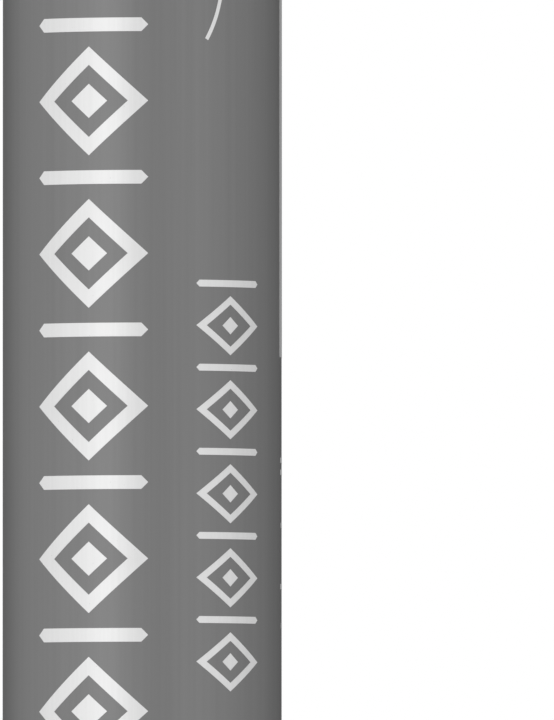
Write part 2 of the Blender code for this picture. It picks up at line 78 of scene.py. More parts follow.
def addCamera():
    lens = bpy.data.cameras.new("photoCamera")
    lens.sensor_width = shot["sensor"]
    lens.lens = shot["sensor"] * shot["distance"] / shot["pictureHeight"]
    lens.clip_start, lens.clip_end = shot["clip"]
    camera = addObject("photoCamera", lens)
    aimFrom(camera, (shot["centre"][0], -shot["distance"], shot["eyeHeight"]), shot["centre"])
    bpy.context.scene.camera = camera


addCamera()
bpy.context.scene.view_settings.view_transform = "Standard"
print("camera placed")


def feed(socket, value):
    # a socket takes another node's output, a colour or a plain value
    if isinstance(value, bpy.types.NodeSocket):
        socket.id_data.links.new(value, socket)
    else:
        socket.default_value = (*value, 1) if socket.type == "RGBA" else value


def addNode(tree, kind, inputs, **settings):
    node = tree.nodes.new(kind)
    for name, value in settings.items():
        setattr(node, name, value)
    for label, value in inputs.items():
        feed(node.inputs[label], value)
    return node.outputs


socketKinds = {float: "Float", int: "Int", tuple: "Vector"}


def newGroup(name, kind, inputs, outputs):
    # an input comes with its first value, or with its kind where it has none
    group = bpy.data.node_groups.new(name, kind)
    for label, value in inputs.items():
        sort = socketKinds.get(type(value), value)
        socket = group.interface.new_socket(label, in_out="INPUT", socket_type="NodeSocket" + sort)
        if sort != value:
            socket.default_value = value
    for label, sort in outputs.items():
        group.interface.new_socket(label, in_out="OUTPUT", socket_type="NodeSocket" + sort)
    return group, group.nodes.new("NodeGroupInput").outputs, group.nodes.new("NodeGroupOutput").inputs


def addMath(tree, operation, first, second=0.0, clamp=False):
    return addNode(tree, "ShaderNodeMath", {0: first, 1: second}, operation=operation, use_clamp=clamp)[0]


def times(tree, first, second):
    return addMath(tree, "MULTIPLY", first, second)


def addRange(tree, value, fromLow, fromHigh, toLow, toHigh, kind="LINEAR"):
    inputs = {"Value": value, "From Min": fromLow, "From Max": fromHigh, "To Min": toLow, "To Max": toHigh}
    return addNode(tree, "ShaderNodeMapRange", inputs, interpolation_type=kind)["Result"]


def addNoise(tree, vector, scale, detail=2.0, rough=0.5):
    inputs = {"Vector": vector, "Scale": scale, "Detail": detail, "Roughness": rough}
    return addNode(tree, "ShaderNodeTexNoise", inputs)["Fac"]


def addScale(tree, vector, scale):
    return addNode(tree, "ShaderNodeVectorMath", {0: vector, "Scale": scale}, operation="SCALE")["Vector"]


def splitVector(tree, vector):
    return addNode(tree, "ShaderNodeSeparateXYZ", {0: vector})


def joinVector(tree, parts):
    return addNode(tree, "ShaderNodeCombineXYZ", parts)[0]


def addMix(tree, share, first, second):
    # 6, 7 and 2 are the node's colour sockets
    return addNode(tree, "ShaderNodeMix", {0: share, 6: first, 7: second}, data_type="RGBA")[2]


# shader node groups, each used by several finishes; a noise is (scale, detail, roughness)

linesLook = {"stretch": (1000, 1000, 6), "fine": (1.0, 3.0, 0.6), "broad": (0.17, 1.0, 0.4)}
wearLook = {"patches": (1.0, 4.0, 0.65), "spread": (0.42, 0.62), "shares": (0.15, 1.0)}
skinLook = {"lineEdges": (0.015 * mm, 0.045 * mm), "lineHeight": 1.5}


def perMetre(group, given, label):
    return times(group, given[label + " per mm"], 1000)


def effectGroup(name, inputs, *outputs):
    inputs = {"Vector": (0, 0, 0), **inputs}
    return newGroup(name, "ShaderNodeTree", inputs, dict.fromkeys(outputs, "Float"))


def makeLengthLines():
    # fine lines that run along the pencil, as drawn or buffed metal and lacquer have
    group, given, made = effectGroup("lengthLines", {"Lines per mm": 6.0}, "Fine", "Broad")
    inputs = {"Vector": given["Vector"], "Scale": linesLook["stretch"]}
    stretched = addNode(group, "ShaderNodeMapping", inputs)["Vector"]
    closer = addScale(group, stretched, given["Lines per mm"])
    feed(made["Fine"], addNoise(group, closer, *linesLook["fine"]))
    feed(made["Broad"], addNoise(group, closer, *linesLook["broad"]))
    return group


def makeEdgeWear():
    # rubbed corners: the pieces carry an attribute that is 1 on their rounded edges
    group, given, made = effectGroup("edgeWear", {"Patches per mm": 1.5, "Amount": 0.5}, "Wear")
    edge = addNode(group, "ShaderNodeAttribute", {}, attribute_name="edgeShare")["Fac"]
    closer = addScale(group, given["Vector"], perMetre(group, given, "Patches"))
    patches = addNoise(group, closer, *wearLook["patches"])
    patches = addRange(group, patches, *wearLook["spread"], *wearLook["shares"], "SMOOTHSTEP")
    mask = times(group, edge, patches)
    feed(made["Wear"], addMath(group, "MULTIPLY", mask, given["Amount"], clamp=True))
    return group


def makeSpecks():
    # sparse round specks, for dust, pigment or pits
    inputs = {"Cells per mm": 1.2, "Size": 0.05, "Share": 0.2}
    group, given, made = effectGroup("specks", inputs, "Specks")
    inputs = {"Vector": given["Vector"], "Scale": perMetre(group, given, "Cells")}
    cells = addNode(group, "ShaderNodeTexVoronoi", inputs, feature="F1")
    near = addMath(group, "LESS_THAN", cells["Distance"], given["Size"])
    pick = addNode(group, "ShaderNodeSeparateColor", {"Color": cells["Color"]})["Red"]
    picked = addMath(group, "LESS_THAN", pick, given["Share"])
    feed(made["Specks"], times(group, near, picked))
    return group


def makeMouldSkin():
    # the soft unevenness of a moulded surface, and the thin line where the two halves of its mould met
    group, given, made = effectGroup("mouldSkin", {"Waves per mm": 3.0, "Line Angle": 0.6}, "Height")
    waves = addNoise(group, addScale(group, given["Vector"], perMetre(group, given, "Waves")), 1.0)
    inputs = {"Vector": given["Vector"], "Angle": given["Line Angle"]}
    turned = addNode(group, "ShaderNodeVectorRotate", inputs, rotation_type="Z_AXIS")["Vector"]
    away = addMath(group, "ABSOLUTE", splitVector(group, turned)["X"])
    line = addRange(group, away, *skinLook["lineEdges"], 1.0, 0.0, "SMOOTHSTEP")
    line = times(group, line, skinLook["lineHeight"])
    feed(made["Height"], addMath(group, "ADD", waves, line))
    return group


lengthLines = makeLengthLines()
edgeWear = makeEdgeWear()
specks = makeSpecks()
mouldSkin = makeMouldSkin()

# finishes: heights of bumps are in millimetres


def grey(value):
    return (value, value, value)


def tones(color, dim, bright):
    return [tuple(part * share for part in color) for share in (dim, bright)]


def newFinish(name, sockets):
    finish = bpy.data.materials.new(name)
    finish.use_nodes = True
    tree = finish.node_tree
    shader = tree.nodes["Principled BSDF"].inputs
    for label, value in sockets.items():
        feed(shader[label], value)
    return finish, tree, shader, addNode(tree, "ShaderNodeTexCoord", {})["Object"]


def addEffect(tree, group, place, values):
    return addNode(tree, "ShaderNodeGroup", {"Vector": place, **values}, node_tree=group)


def addHeight(tree, place, fine, look):
    # what stands up: a noise, a moulded skin or the fine lines themselves, less its pits
    height = fine
    if "noise" in look:
        height = addNoise(tree, place, *look["noise"])
    if "mould" in look:
        height = addEffect(tree, mouldSkin, place, look["mould"])["Height"]
    if "pits" in look:
        pits = addEffect(tree, specks, place, look["pits"])["Specks"]
        height = addMath(tree, "SUBTRACT", height, times(tree, pits, look["pitDepth"]))
    return height


def makeFinish(name, look):
    finish, tree, shader, place = newFinish(name, look["sockets"])
    if "lines" in look:
        lines = addEffect(tree, lengthLines, place, look["lines"])
        fine, broad = lines["Fine"], lines["Broad"]
    if "cloud" in look:
        broad = addNoise(tree, place, *look["cloud"])
        fine = fine if "lines" in look else broad
    color = addMix(tree, fine, *look["shades"])
    rough = addRange(tree, broad, *look["spread"], *look["roughness"])
    for kind, group in (("wear", edgeWear), ("specks", specks)):
        if kind in look:
            mark = look[kind]
            mask = addEffect(tree, group, place, mark["pattern"])[0]
            color = addMix(tree, mask, color, mark["color"])
            if "rougher" in mark:
                rough = addMath(tree, "ADD", rough, times(tree, mask, mark["rougher"]))
    feed(shader["Base Color"], color)
    feed(shader["Roughness"], rough)
    bump = look["bump"]
    height = addHeight(tree, place, fine, bump)
    inputs = {"Height": height, "Distance": bump["height"] * mm, "Strength": bump["strength"]}
    feed(shader["Normal"], addNode(tree, "ShaderNodeBump", inputs)["Normal"])
    return finish


satinLook = {
    "sockets": {"Metallic": 0.78, "Specular Tint": grey(0.6)},
    "shades": tones(grey(0.225), 1 - 0.07, 1 + 0.07),
    "lines": {"Lines per mm": 7.0},
    "spread": (0.3, 0.7),  # of the pattern, over which the roughness goes from its lowest to its highest
    "roughness": (0.38, 0.42),
    "wear": {"color": grey(0.32), "rougher": 0.12, "pattern": {"Patches per mm": 2.0, "Amount": 0.4}},
    "specks": {"color": grey(0.32), "pattern": {"Cells per mm": 0.45, "Size": 0.012, "Share": 0.3}},
    "bump": {"height": 0.0006, "strength": 0.4, "noise": (45000, 1.0)},  # lacquer's fine flake
}


def silverLook(tone, metallic):
    return {
        "sockets": {"Metallic": metallic},
        "shades": tones(grey(tone), 0.9, 1),
        "lines": {"Lines per mm": 9.0},
        "spread": (0.3, 0.7),
        "roughness": (0.39, 0.46),
        "specks": {"color": grey(0.6), "pattern": {"Cells per mm": 9.0, "Size": 0.12, "Share": 0.05}},
        "bump": {"height": 0.0015, "strength": 0.5, "noise": (14000, 3.0, 0.6)},  # the foil's crinkle
    }


def plasticLook(color, worn, roughness, gloss, mouldLine):
    return {
        "sockets": {"Specular IOR Level": gloss},
        "shades": tones(color, 0.93, 1.06),
        "cloud": (900, 3.0),
        "spread": (0.35, 0.65),
        "roughness": (roughness - 0.04, roughness + 0.05),
        "wear": {"color": worn, "pattern": {"Patches per mm": 3.0, "Amount": 0.5}},
        "specks": {
            "color": worn,
            "rougher": 0.3,
            "pattern": {"Cells per mm": 1.1, "Size": 0.025, "Share": 0.18},
        },
        # the line is where the mould's halves met, in radians from +Y
        "bump": {"height": 0.004, "strength": 0.6, "mould": {"Waves per mm": 2.5, "Line Angle": mouldLine}},
    }


leadLook = {
    "sockets": {},
    "shades": tones((0.1, 0.1, 0.102), 0.8, 1.3),
    "lines": {"Lines per mm": 5.0},
    "cloud": (1800, 4.0, 0.6),
    "spread": (0.35, 0.65),
    "roughness": (0.38, 0.58),
    "specks": {"color": grey(0.2), "pattern": {"Cells per mm": 14.0, "Size": 0.2, "Share": 0.12}},
    "bump": {
        "height": 0.006,
        "strength": 0.7,
        "pits": {"Cells per mm": 6.0, "Size": 0.18, "Share": 0.2},
        "pitDepth": 0.6,
    },
}
steelLook = {
    "sockets": {"Metallic": 1.0},
    "shades": (grey(0.5), (0.7, 0.7, 0.707)),
    "lines": {"Lines per mm": 14.0},
    "spread": (0.3, 0.7),
    "roughness": (0.2, 0.34),
    "bump": {"height": 0.001, "strength": 0.6},
}
rubberLook = {
    "sockets": {},
    "shades": (grey(0.012), grey(0.03)),
    "cloud": (2500, 4.0),
    "spread": (0.3, 0.7),
    "roughness": (0.62, 0.78),
    "bump": {"height": 0.004, "strength": 0.5, "noise": (9000,)},
}
blackLook = plasticLook((0.02, 0.02, 0.021), (0.055, 0.055, 0.055), 0.26, 0.3, 0.6)
paleLook = plasticLook((0.7, 0.69, 0.66), (0.78, 0.772, 0.749), 0.42, 0.5, 1.1)

satinLacquer = makeFinish("satinLacquer", satinLook)
silverFoil = makeFinish("silverFoil", silverLook(0.8, 1.0))
silverInk = makeFinish("silverInk", silverLook(0.8, 0.66))
panelInk = makeFinish("panelInk", silverLook(0.62, 0.66))
blackPlastic = makeFinish("blackPlastic", blackLook)
palePlastic = makeFinish("palePlastic", paleLook)
waxLead = makeFinish("waxLead", leadLook)
groundSteel = makeFinish("groundSteel", steelLook)
blackRubber = makeFinish("blackRubber", rubberLook)
print("finishes made")

# a turned piece is an outline of (radius, height, corner round) in millimetres, turned about the axis:
# either a closed ring round a bore, or joined to the axis at both ends

turning = {
    "sides": 256,
    "roundSteps": 5,
    "longestRound": 0.49,  # of the shorter side beside the corner
    "halo": 2.5,  # beside a round, its wear fades out over this much of its size
    "widestHalo": 0.3,
    "leastSide": 2.2,  # a side takes a halo point where it is this many times the halo's reach
    "sharpAngle": 40,
    "carvedSharpAngle": 30,  # for pieces that a modifier has made or cut
}


def roundOutline(corners):
    # each corner with a round becomes an arc, with a fading point on either side of it
    points = []
    for i, (radius, height, size) in enumerate(corners):
        here = Vector((radius, height))
        if size == 0:
            points.append((radius, height, 0.0))
            continue
        before = Vector(corners[i - 1][:2]) - here
        after = Vector(corners[(i + 1) % len(corners)][:2]) - here
        size = min(size, *(side.length * turning["longestRound"] for side in (before, after)))
        first = here + before.normalized() * size
        last = here + after.normalized() * size
        weight = math.sin(before.angle(after) / 2)
        for leg, side in ((before, -1), (after, 1)):
            if side == 1:
                for step in range(turning["roundSteps"] + 1):
                    t = step / turning["roundSteps"]
                    shares = ((1 - t) ** 2, 2 * weight * t * (1 - t), t * t)
                    spot = (first * shares[0] + here * shares[1] + last * shares[2]) / sum(shares)
                    points.append((spot.x, spot.y, 1.0))
            reach = size + min(size * turning["halo"], turning["widestHalo"])
            if leg.length > turning["leastSide"] * reach:
                spot = here + leg.normalized() * reach
                points.append((spot.x, spot.y, 0.0))
    return points


def turnPiece(name, corners, closed=False, sides=turning["sides"]):
    if not closed:
        corners = [(0, corners[0][1], 0), *corners, (0, corners[-1][1], 0)]
    bm = bmesh.new()
    share = bm.verts.layers.float.new("edgeShare")
    rings = []
    for radius, height, edge in roundOutline(corners):
        ring = []
        for k in range(sides if radius > 0 else 1):
            angle = math.tau * k / sides
            vert = bm.verts.new((radius * mm * math.cos(angle), radius * mm * math.sin(angle), height * mm))
            vert[share] = edge
            ring.append(vert)
        rings.append(ring)
    pairs = list(zip(rings, rings[1:])) + ([(rings[-1], rings[0])] if closed else [])
    for near, far in pairs:
        for k in range(sides):
            n = k + 1
            loop = [near[k % len(near)], near[n % len(near)], far[n % len(far)], far[k % len(far)]]
            loop = [v for i, v in enumerate(loop) if v not in loop[:i]]
            if len(loop) > 2:
                bm.faces.new(loop)
    bmesh.ops.recalc_face_normals(bm, faces=bm.faces)
    piece = addMesh(name, bm)
    piece.data.shade_smooth()
    piece.data.set_sharp_from_angle(angle=math.radians(turning["sharpAngle"]))
    return piece


def nodeEnds(node):
    low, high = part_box(node)
    return low[2] / mm, high[2] / mm


def tubePiece(name, node, look, sides=turning["sides"]):
    spots = ((look["bore"], look["boreRound"]), (look["outer"], look["outerRound"]))
    front, rear = ([(radius, height, size) for radius, size in spots] for height in nodeEnds(node))
    return turnPiece(name, front + rear[::-1], True, sides)


def groove(outer, inner, rear, front, size):
    spots = ((outer, rear), (inner, rear), (inner, front), (outer, front))
    return [(radius, height, size) for radius, height in spots]


def seat(piece, body, finish, *nodes):
    piece.data.materials.clear()
    piece.data.materials.append(finish)
    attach(piece, body)
    if nodes:
        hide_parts(*nodes)


outside = bodyRadius / mm

capLook = {"bore": 3.95, "endWall": 1.2, "endRound": 0.6, "mouthRound": 0.12}


def makeCap():
    foot, mouth = nodeEnds("cap_shell")
    floor = foot + capLook["endWall"]
    corners = [
        (capLook["bore"], floor, 0.3),
        (capLook["bore"], mouth, 0.05),
        (outside, mouth, capLook["mouthRound"]),
        (outside, foot, capLook["endRound"]),
    ]
    seat(turnPiece("capShell", corners), "cap", satinLacquer, "cap_shell")


linerLook = {"bore": 3.25, "seatBore": 3.5, "outer": 3.85, "floor": 0.8, "seatFoot": 37.8}


def makeLiner():
    foot, rear = nodeEnds("cap_liner")
    look = linerLook
    corners = [
        (look["bore"], foot + look["floor"], 0.3),
        (look["bore"], look["seatFoot"], 0.08),
        (look["seatBore"], look["seatFoot"], 0.08),
        (look["seatBore"], rear, 0.1),
        (look["outer"], rear, 0.15),
        (look["outer"], foot, 0.2),
    ]
    seat(turnPiece("capLiner", corners), "cap", palePlastic, "cap_liner")


barrelLook = {"bore": 3.7, "outer": outside, "boreRound": 0.05, "outerRound": 0.12}
knobLook = {"bore": 3.85, "outer": outside, "boreRound": 0.05, "outerRound": 0.12}


def makeSleeves():
    barrel = tubePiece("barrelTube", "barrel_tube", barrelLook)
    seat(barrel, "barrel", satinLacquer, "barrel_tube")
    knob = tubePiece("knobShell", "knob_shell", knobLook)
    seat(knob, "knob", satinLacquer, "knob_shell")


buttonLook = {"endRound": 0.6, "frontRound": 0.12, "socket": 2.2, "socketDepth": 1.9}


def makeButton():
    front, top = nodeEnds("end_button")
    look = buttonLook
    corners = [
        (outside, top, look["endRound"]),
        (outside, front, look["frontRound"]),
        (look["socket"], front, 0.05),
        (look["socket"], front + look["socketDepth"], 0.05),
    ]
    seat(turnPiece("endButton", corners), "sharpener", satinLacquer, "end_button")


neckLook = {
    "radius": 3.32, "bead": 3.42, "beadHeight": 45.2, "beadHalf": 0.2, "beadFoot": 0.4, "insert": 3.6,
    "shoulder": 48.0, "bore": 1.95, "spigotBore": 2.55, "spigotRear": 44.3,
}


def makeNeck():
    front, rear = nodeEnds("neck_sleeve")
    look = neckLook
    bead = look["beadHeight"]
    corners = [
        (look["bore"], rear, 0.05),
        (look["insert"], rear, 0.2),
        (look["insert"], look["shoulder"], 0),
        (look["radius"], look["shoulder"], 0),
        (look["radius"], bead + look["beadFoot"], 0.1),
        (look["bead"], bead + look["beadHalf"], 0.12),
        (look["bead"], bead - look["beadHalf"], 0.12),
        (look["radius"], bead - look["beadFoot"], 0.1),
        (look["radius"], front, 0.22),
        (look["spigotBore"], front, 0.04),
        (look["spigotBore"], look["spigotRear"], 0.04),
        (look["bore"], look["spigotRear"], 0.04),
    ]
    seat(turnPiece("neckSleeve", corners, True), "barrel", blackPlastic, "neck_sleeve")


nozzleLook = {
    "tip": 1.7, "base": 3.05, "swellSteps": 28, "length": 12.1, "hole": 1.25, "land": 5.0,
    "cupBore": 1.95, "spigot": 2.45,
}


def makeNozzle():
    tip, spigotRear = nodeEnds("nozzle")
    look = nozzleLook
    base = tip + look["length"]
    corners = [
        (look["cupBore"], spigotRear, 0.05),
        (look["spigot"], spigotRear, 0.2),
        (look["spigot"], base, 0),
    ]
    for step in range(look["swellSteps"], -1, -1):
        share = step / look["swellSteps"]
        radius = look["tip"] + (look["base"] - look["tip"]) * math.sin(share * math.pi / 2)
        size = 0.14 if step in (0, look["swellSteps"]) else 0
        corners.append((radius, tip + look["length"] * share, size))
    corners += [
        (look["hole"], tip, 0.1),
        (look["hole"], tip + look["land"], 0.05),
        (look["cupBore"], tip + look["land"], 0.05),
    ]
    seat(turnPiece("nozzleCone", corners, True), "barrel", blackPlastic, "nozzle")


leadShape = {"radius": 1.1, "pointLength": 3.0, "pointRadius": 0.3, "sides": 128}


def makeLead():
    point, rear = nodeEnds("lead")
    look = leadShape
    corners = [
        (look["radius"], rear, 0.08),
        (look["radius"], point + look["pointLength"], 0.3),
        (look["pointRadius"], point, 0.14),
    ]
    seat(turnPiece("leadStick", corners, sides=look["sides"]), "carrier", waxLead, "lead")


makeCap()
makeLiner()
makeSleeves()
makeButton()
makeNeck()
makeNozzle()
makeLead()
print("turned pieces made")

# foil print: a plain geometric trim, drawn flat as (around, along) in millimetres, then wrapped

foilStep = 0.24  # longest flat run of foil round the barrel
runLength = 0.2  # about how long the steps along a motif's own lines are
weld = 1e-7  # points closer than this are one


def strip(bm, near, far):
    # quads between two equally long lines of (around, along) points, short enough to follow the barrel
    widest = max(abs(b[0] - a[0]) for a, b in zip(near, far))
    count = max(1, math.ceil(widest / foilStep))
    rows = []
    for n in range(count + 1):
        share = n / count
        line = [tuple(p + (q - p) * share for p, q in zip(a, b)) for a, b in zip(near, far)]
        rows.append([bm.verts.new((x * mm, 0, z * mm)) for x, z in line])
    for low, high in zip(rows, rows[1:]):
        for k in range(len(near) - 1):
            bm.faces.new((low[k], low[k + 1], high[k + 1], high[k]))


def between(start, end, count):
    return [tuple(a + (b - a) * k / count for a, b in zip(start, end)) for k in range(count + 1)]


def lozengeRing(bm, halfAcross, halfAlong, stroke):
    # the inner lozenge keeps the stroke's width square to each side
    shrink = 1 - stroke * math.hypot(halfAcross, halfAlong) / (halfAcross * halfAlong)
    tips = [(halfAcross, 0), (0, halfAlong), (-halfAcross, 0), (0, -halfAlong), (halfAcross, 0)]
    steps = max(3, round(halfAcross / runLength))
    for a, b in zip(tips, tips[1:]):
        near, far = [(tip[0] * shrink, tip[1] * shrink) for tip in (a, b)]
        strip(bm, between(a, b, steps), between(near, far, steps))


def mirrored(bm, across, half, along=0):
    low, high = ([(x, along + side * h) for x, h in zip(across, half)] for side in (-1, 1))
    strip(bm, low, high)


def lozenge(bm, halfAcross, halfAlong):
    steps = max(2, round(2 * halfAcross / runLength) // 2 * 2)
    across = [halfAcross * (2 * k / steps - 1) for k in range(steps + 1)]
    mirrored(bm, across, [halfAlong * (1 - abs(x) / halfAcross) for x in across])


def pointedBar(bm, halfAcross, thickness, along):
    # a cross bar whose ends come to a point
    steps = max(4, round(2 * halfAcross / runLength))
    tip = thickness / 2
    across = [-halfAcross] + [x for x, _ in between((tip - halfAcross, 0), (halfAcross - tip, 0), steps)]
    across.append(halfAcross)
    mirrored(bm, across, [min(tip, halfAcross - abs(x)) for x in across], along)


def panel(bm, across, along):
    steps = max(1, round((across[1] - across[0]) / runLength))
    edges = [between((across[0], height), (across[1], height), steps) for height in along]
    strip(bm, *edges)


def flatShape(name, draw):
    bm = bmesh.new()
    draw(bm)
    bmesh.ops.remove_doubles(bm, verts=bm.verts, dist=weld)
    for face in bm.faces:
        face.normal_update()
        if face.normal.y > 0:
            face.normal_flip()
    return addMesh(name, bm)


def treeFloats(*labels):
    return dict.fromkeys(labels, 0.0)


def endTree(tree, given, made, shape, distance):
    closed = addNode(tree, "GeometryNodeMergeByDistance", {"Geometry": shape, "Distance": distance})[0]
    solid = addNode(tree, "GeometryNodeRealizeInstances", {0: closed})[0]
    inputs = {"Geometry": solid, "Material": given["Finish"]}
    feed(made[0], addNode(tree, "GeometryNodeSetMaterial", inputs)[0])
    return tree


def makeWrapTree():
    # repeats a flat motif along the pencil, wraps it round the barrel and gives it the foil's thickness
    sizes = treeFloats("Pitch", "First Height", "Centre Angle", "Radius", "Thickness", "Sink")
    inputs = {"Geometry": "Geometry", "Motifs": 1, **sizes, "Finish": "Material"}
    tree, given, made = newGroup("foilWrap", "GeometryNodeTree", inputs, {"Geometry": "Geometry"})

    step = joinVector(tree, {"Z": given["Pitch"]})
    start = joinVector(tree, {"Z": given["First Height"]})
    inputs = {"Count": given["Motifs"], "Start Location": start, "Offset": step}
    line = addNode(tree, "GeometryNodeMeshLine", inputs)[0]
    inputs = {"Points": line, "Instance": given["Geometry"]}
    copies = addNode(tree, "GeometryNodeInstanceOnPoints", inputs)[0]
    flat = addNode(tree, "GeometryNodeRealizeInstances", {0: copies})[0]

    parts = splitVector(tree, addNode(tree, "GeometryNodeInputPosition", {})[0])
    angle = addMath(tree, "DIVIDE", parts["X"], given["Radius"])
    angle = addMath(tree, "ADD", angle, given["Centre Angle"])
    radius = addMath(tree, "SUBTRACT", given["Radius"], given["Sink"])
    side = times(tree, addMath(tree, "SINE", angle), radius)
    back = times(tree, addMath(tree, "COSINE", angle), radius)
    back = times(tree, back, -1.0)
    place = joinVector(tree, {"X": side, "Y": back, "Z": parts["Z"]})
    wrapped = addNode(tree, "GeometryNodeSetPosition", {"Geometry": flat, "Position": place})[0]

    rise = addMath(tree, "ADD", given["Thickness"], given["Sink"])
    inputs = {"Mesh": wrapped, "Individual": False, "Offset Scale": rise}
    raised = addNode(tree, "GeometryNodeExtrudeMesh", inputs)[0]
    under = addNode(tree, "GeometryNodeFlipFaces", {0: wrapped})[0]
    both = addNode(tree, "GeometryNodeJoinGeometry", {0: raised})[0]
    feed(both.node.inputs[0], under)
    return endTree(tree, given, made, both, weld)


def bakePiece(source, name):
    source.data.update()
    mesh = bpy.data.meshes.new_from_object(source.evaluated_get(bpy.context.evaluated_depsgraph_get()))
    mesh.name = name
    mesh.shade_smooth()
    mesh.set_sharp_from_angle(angle=math.radians(turning["carvedSharpAngle"]))
    bpy.data.objects.remove(source, do_unlink=True)
    return addObject(name, mesh)


def runTree(source, name, tree, values):
    # a modifier's input goes by its socket's identifier
    sockets = {item.name: item.identifier for item in tree.interface.items_tree if item.in_out == "INPUT"}
    step = source.modifiers.new(tree.name, "NODES")
    step.node_group = tree
    for label, value in values.items():
        step[sockets[label]] = value
    return bakePiece(source, name)


foilWrap = makeWrapTree()
foilStock = {"Thickness": 0.008 * mm, "Sink": 0.002 * mm}


def printFoil(name, draw, centreAngle, firstHeight=0.0, motifs=1, pitch=1.0, finish=silverFoil):
    values = {
        "Motifs": motifs,
        "Pitch": pitch * mm,
        "First Height": firstHeight * mm,
        "Centre Angle": math.radians(centreAngle),
        "Radius": bodyRadius,
        "Finish": finish,
        **foilStock,
    }
    foil = runTree(flatShape(name + "Flat", draw), name, foilWrap, values)
    seat(foil, "barrel", finish)


def printTrim(name, look):
    def draw(bm):
        lozengeRing(bm, look["halfAcross"], look["ringHalf"], look["stroke"])
        lozenge(bm, *look["heart"])
        pointedBar(bm, look["halfAcross"], look["stroke"], look["pitch"] / 2)

    printFoil(name, draw, look["angle"], look["firstHeight"], look["motifs"], look["pitch"])


# angles are counted from the middle of the photographed side, positive to the right
largeTrim = {
    "angle": -22.05, "halfAcross": 1.95, "stroke": 0.44, "ringHalf": 1.75, "heart": (0.62, 0.55),
    "pitch": 4.9, "firstHeight": 55.3, "motifs": 12,
}
smallTrim = {
    "angle": 39.3, "halfAcross": 1.28, "stroke": 0.22, "ringHalf": 0.95, "heart": (0.32, 0.28),
    "pitch": 2.7, "firstHeight": 91.2, "motifs": 5,
}
curl = {
    "angle": 30.0, "centre": (-3.848, 113.367), "radius": 4.26, "from": -30.7, "to": 30.7,
    "stroke": 0.131, "steps": 28,
}
sidePanel = {"angle": 79.6, "across": (0.0, 4.2), "along": (101.07, 116.4)}
sideRules = {
    "angle": 82.0,
    "end": 3.6,
    "thickness": 0.17,
    # height and start of each
    "rows": ((92.415, 0.17), (93.675, 0), (95.655, 0.09), (97.366, 0), (97.75, 0)),
}


def drawCurl(bm):
    # a thin curved line of even width
    x, z = curl["centre"]
    start, steps = curl["from"], curl["steps"]
    turns = [math.radians(start + (curl["to"] - start) * k / steps) for k in range(steps + 1)]
    lines = []
    for side in (-1, 1):
        reach = curl["radius"] + side * curl["stroke"] / 2
        lines.append([(x + reach * math.cos(a), z + reach * math.sin(a)) for a in turns])
    strip(bm, *lines)


def drawSidePanel(bm):
    panel(bm, sidePanel["across"], sidePanel["along"])


def drawSideRules(bm):
    half = sideRules["thickness"] / 2
    for height, start in sideRules["rows"]:
        panel(bm, (start, sideRules["end"]), (height - half, height + half))


printTrim("foilLargeTrim", largeTrim)
printTrim("foilSmallTrim", smallTrim)
printFoil("foilCurl", drawCurl, curl["angle"])
printFoil("inkSidePanel", drawSidePanel, sidePanel["angle"], finish=panelInk)
printFoil("inkSideRules", drawSideRules, sideRules["angle"], finish=silverInk)
print("foil print made")

# knob core and sharpener, which show when the sharpener is pulled out

edgeSteps = {"block": 3, "blade": 2}
spare = 1  # a cutter reaches this far past what it cuts
room = 0.1  # between two pieces that sit on each other


def bevelEdges(bm, edges, size, steps):
    bmesh.ops.bevel(bm, geom=edges, offset=size * mm, segments=steps, affect="EDGES", profile=0.5)


def addBlock(name, low, high, edge=0):
    bm = bmesh.new()
    bmesh.ops.create_cube(bm, size=1)
    for vert in bm.verts:
        vert.co = [(a if c < 0 else b) * mm for a, b, c in zip(low, high, vert.co)]
    if edge:
        bevelEdges(bm, bm.edges, edge, edgeSteps["block"])
    return addMesh(name, bm)


def carve(piece, helper, operation="DIFFERENCE"):
    step = piece.modifiers.new("carve", "BOOLEAN")
    step.operation, step.solver, step.object = operation, "MANIFOLD", helper
    carved = bakePiece(piece, piece.name)
    bpy.data.objects.remove(helper, do_unlink=True)
    return carved


coreLook = {
    "radius": 3.75,
    "bore": 2.95,
    "floor": 1.0,  # the closed front of the sharpener's socket
    "journal": 2.6,
    "ringHeight": 4.2,  # from the front end to the rubber ring
    "ringGroove": 1.95,
    "ringHalf": 0.37,
    "clip": (0.5, 1.2),  # its groove, from the front end
    "clipGroove": 2.05,
    "driveHalf": 1.1,
    "driveDepth": 5.1,
}


def makeKnobCore():
    look = coreLook
    front, rear = nodeEnds("knob_core")
    shoulder = nodeEnds("knob_shell")[0]
    ringRear, ringFront = (front + look["ringHeight"] + side * look["ringHalf"] for side in (1, -1))
    clipFront, clipRear = (front + depth for depth in look["clip"])
    corners = [
        (look["bore"], shoulder + look["floor"], 0.12),
        (look["bore"], rear, 0.15),
        (look["radius"], rear, 0.12),
        (look["radius"], shoulder, 0.1),
        (look["journal"], shoulder, 0.06),
        *groove(look["journal"], look["ringGroove"], ringRear, ringFront, 0.04),
        *groove(look["journal"], look["clipGroove"], clipRear, clipFront, 0.03),
        (look["journal"], front, 0.15),
    ]
    half = look["driveHalf"]
    high = (half, half, front + look["driveDepth"])
    socket = addBlock("driveSocket", (-half, -half, front - spare), high)
    core = carve(turnPiece("knobCore", corners), socket)
    seat(core, "knob", blackPlastic, "knob_core")


